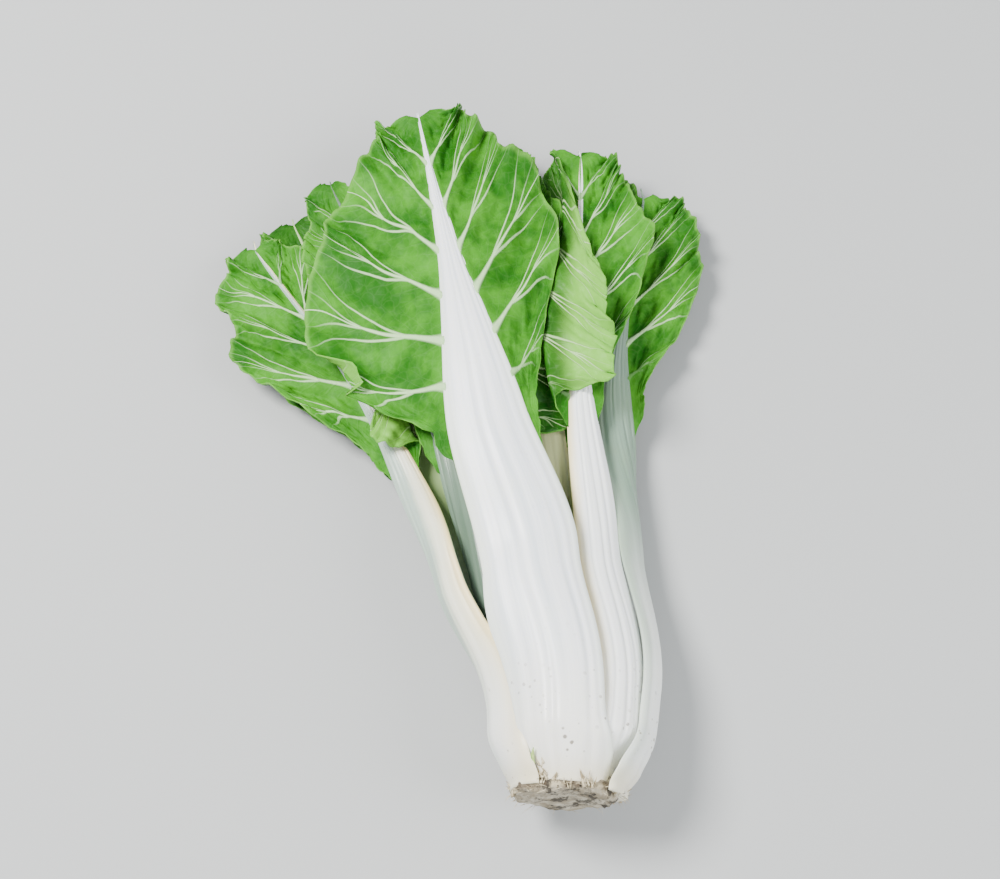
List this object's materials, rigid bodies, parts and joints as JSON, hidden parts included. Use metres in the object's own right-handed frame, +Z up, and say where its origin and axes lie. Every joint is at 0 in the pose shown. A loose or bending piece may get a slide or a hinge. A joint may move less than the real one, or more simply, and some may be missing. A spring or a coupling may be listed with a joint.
{
  "type": "chard bunch",
  "caption": "Head of broad white-stalked chard lying on its side, with ribbed stalks joined at a cut root crown and veined green blades fanned out in layers.",
  "frame": {"origin": "on the surface that the head lies on, under the middle of its bounding box", "axes": "+Y from the cut root crown along the head to the leaf tips, +Z up from the surface, +X to the right seen from above with the tips pointing away"},
  "size_m": [0.3228, 0.4666, 0.0913],
  "materials": {
    "stalk": "smooth moist white stalk with soft lengthwise ribs",
    "blade": "satin green leaf, crinkled, with pale raised veins",
    "crown": "rough cut root crown with dried soil"
  },
  "bodies": {
    "root": {"crown": "crown", "front_stalk": "stalk", "front_blade": "blade", "left_stalk": "stalk", "left_blade": "blade", "right_stalk": "stalk", "right_blade": "blade", "far_right_stalk": "stalk", "far_right_blade": "blade", "left_inner_stalk": "stalk", "left_inner_blade": "blade", "right_inner_stalk": "stalk", "right_inner_blade": "blade", "under_stalk": "stalk", "under_blade": "blade", "under_left_stalk": "stalk", "under_left_blade": "blade", "under_right_stalk": "stalk", "under_right_blade": "blade", "heart_stalk": "stalk", "heart_blade": "blade"}
  },
  "joints": []
}
